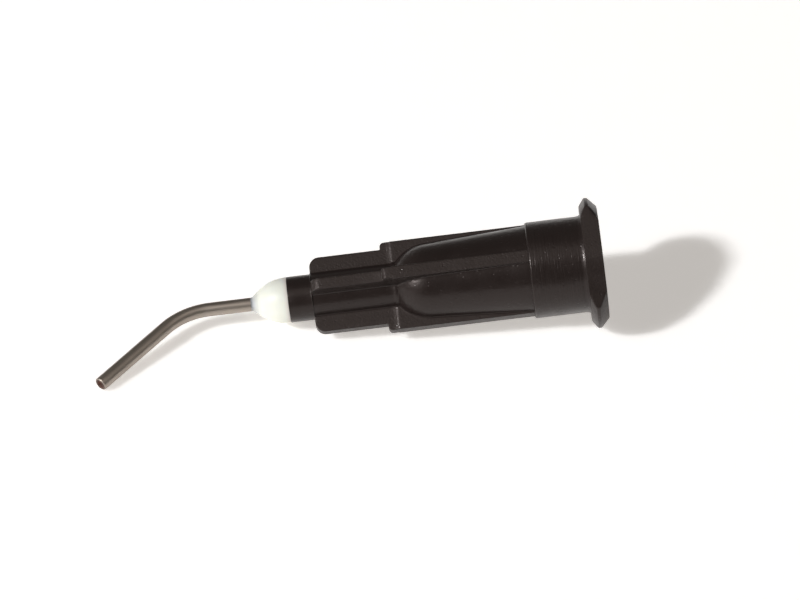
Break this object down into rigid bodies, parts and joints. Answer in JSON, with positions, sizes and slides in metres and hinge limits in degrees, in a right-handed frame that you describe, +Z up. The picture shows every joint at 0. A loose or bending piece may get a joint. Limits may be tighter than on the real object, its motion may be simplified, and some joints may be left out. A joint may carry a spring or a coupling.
{
  "type": "dispensing needle tip",
  "caption": "Luer-lock dispensing needle tip: a winged plastic hub with a flange and lugs, a bent blunt steel cannula and a bead of adhesive at its root.",
  "frame": {"origin": "on the ground, below the middle of the tip's bounding box, as it lies at rest", "axes": "+X the way the hub's mouth faces, along the tip; +Z up; the bent leg reaches towards -X and -Y"},
  "size_m": [0.0308, 0.0094, 0.0076],
  "materials": {
    "hub_plastic": "glossy black moulding",
    "tube_steel": "drawn stainless tube, satin",
    "adhesive": "glossy, milky and slightly translucent"
  },
  "bodies": {
    "root": {"hub": "hub_plastic", "cannula": "tube_steel", "adhesive_bead": "adhesive"}
  },
  "joints": []
}
